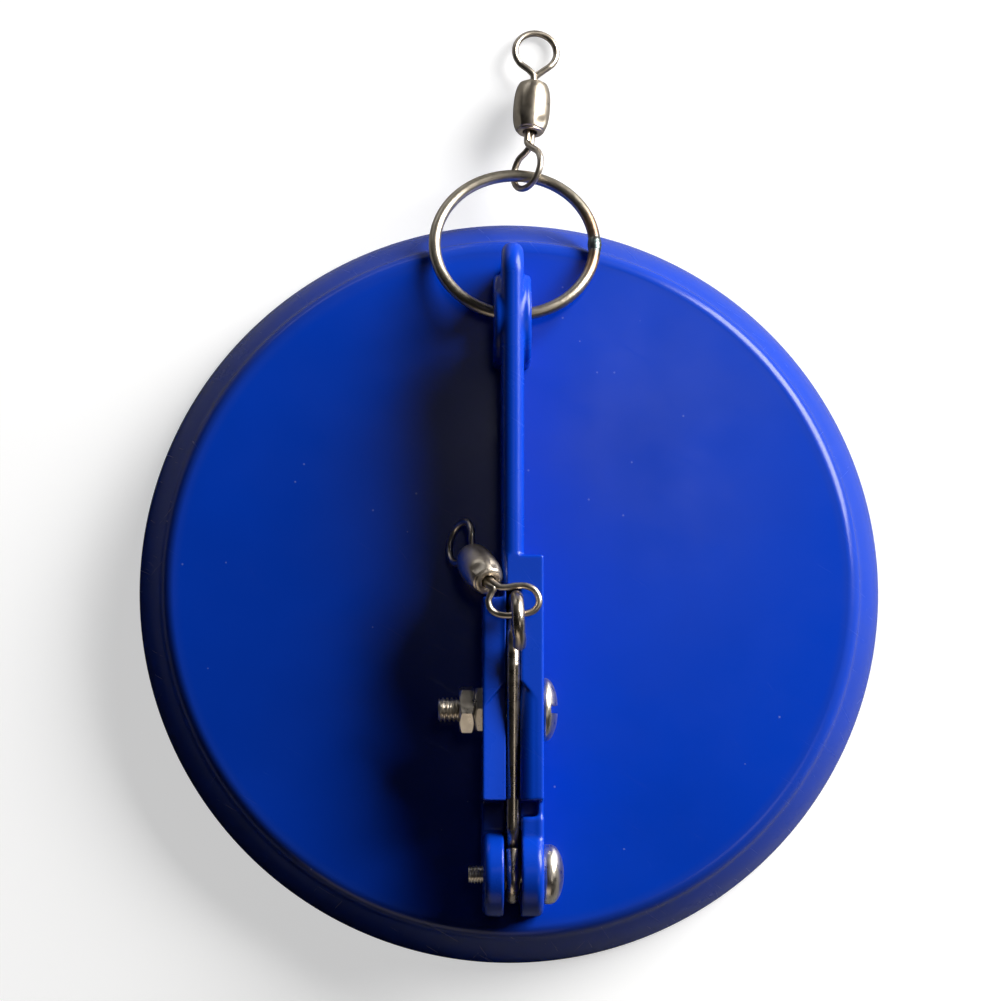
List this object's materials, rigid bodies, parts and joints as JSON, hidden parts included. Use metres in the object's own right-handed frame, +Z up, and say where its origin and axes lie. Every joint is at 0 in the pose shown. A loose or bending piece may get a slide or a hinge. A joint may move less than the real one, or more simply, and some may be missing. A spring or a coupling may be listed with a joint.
{
  "type": "directional trolling diver",
  "caption": "Round trolling diver: rim-down plastic dish with a finned keel, wire trip arm in a tension clip, steering dial with weight, tail ring and line swivels.",
  "frame": {"origin": "on the ground plane under the rim, midway along the whole length from the dish's front rim to the leader swivel's end", "axes": "+X to the tension screw's head, +Y to the tail with the leader ring, +Z up out of the dish's flat face"},
  "size_m": [0.124, 0.1574, 0.0338],
  "materials": {
    "dish_plastic": "glossy moulded blue with fine handling scratches",
    "keel_plastic": "satin moulded blue",
    "dial_plastic": "satin moulded blue",
    "stainless_wire": "drawn stainless wire, warm grey",
    "ring_steel": "stainless ring with heat tint either side of the weld",
    "swivel_nickel": "polished warm nickel",
    "screw_steel": "bright machined steel",
    "bush_steel": "dull steel",
    "weight_lead": "cast lead, dull grey"
  },
  "bodies": {
    "dish": {"disc": "dish_plastic", "keel_fin": "keel_plastic", "keel_screw_front": "screw_steel", "keel_screw_rear": "screw_steel", "pivot_screw": "screw_steel", "pivot_bush": "bush_steel", "tension_nut": "screw_steel", "dial_screw": "screw_steel", "dial_washer": "screw_steel"},
    "dial": {"dial_plate": "dial_plastic", "keel_weight": "weight_lead", "weight_screw_left": "screw_steel", "weight_screw_right": "screw_steel"},
    "arm": {"trip_arm": "stainless_wire"},
    "tension_screw": {"tension_screw": "screw_steel"},
    "lock_nut": {"lock_nut": "screw_steel"},
    "ring": {"leader_ring": "ring_steel"},
    "line_link": {"line_swivel_near_eye": "swivel_nickel"},
    "line_barrel": {"line_swivel_barrel": "swivel_nickel"},
    "line_end": {"line_swivel_far_eye": "swivel_nickel"},
    "leader_link": {"leader_swivel_near_eye": "swivel_nickel"},
    "leader_barrel": {"leader_swivel_barrel": "swivel_nickel"},
    "leader_end": {"leader_swivel_far_eye": "swivel_nickel"}
  },
  "joints": [
    {"name": "dial_turn", "type": "hinge", "parent": "dish", "child": "dial", "pos_m": [0, -0.01669, 0.006], "axis": [0, 0, 1], "range_deg": [-45, 45]},
    {"name": "arm_release", "type": "hinge", "parent": "dish", "child": "arm", "pos_m": [0, -0.06399, 0.02], "axis": [1, 0, 0], "range_deg": [0, 165]},
    {"name": "tension_turn", "type": "hinge", "parent": "dish", "child": "tension_screw", "pos_m": [0, -0.03729, 0.0215], "axis": [1, 0, 0], "continuous": true},
    {"name": "lock_nut_turn", "type": "hinge", "parent": "dish", "child": "lock_nut", "pos_m": [-0.0074, -0.03729, 0.0215], "axis": [1, 0, 0], "continuous": true},
    {"name": "ring_swing", "type": "hinge", "parent": "dish", "child": "ring", "pos_m": [0.0006, 0.02801, 0.0175], "axis": [1, 0, 0], "range_deg": [0, 120]},
    {"name": "leader_swing", "type": "hinge", "parent": "ring", "child": "leader_link", "pos_m": [0.0027, 0.05291, 0.0079], "axis": [1, 0, 0], "range_deg": [0, 80]},
    {"name": "leader_barrel_spin", "type": "hinge", "parent": "leader_link", "child": "leader_barrel", "pos_m": [0.0033, 0.06021, 0.00605], "axis": [0.0751, 0.9569, -0.2806], "continuous": true},
    {"name": "leader_end_spin", "type": "hinge", "parent": "leader_barrel", "child": "leader_end", "pos_m": [0.00399, 0.06902, 0.00347], "axis": [0.0751, 0.9569, -0.2806], "continuous": true},
    {"name": "line_swing", "type": "hinge", "parent": "arm", "child": "line_link", "pos_m": [0, -0.02304, 0.029], "axis": [1, 0, 0], "range_deg": [0, 130]},
    {"name": "line_barrel_spin", "type": "hinge", "parent": "line_link", "child": "line_barrel", "pos_m": [-0.00395, -0.01689, 0.028], "axis": [-0.3208, 0.5187, -0.7925], "continuous": true},
    {"name": "line_end_spin", "type": "hinge", "parent": "line_barrel", "child": "line_end", "pos_m": [-0.0069, -0.01212, 0.02071], "axis": [-0.3208, 0.5187, -0.7925], "continuous": true}
  ]
}
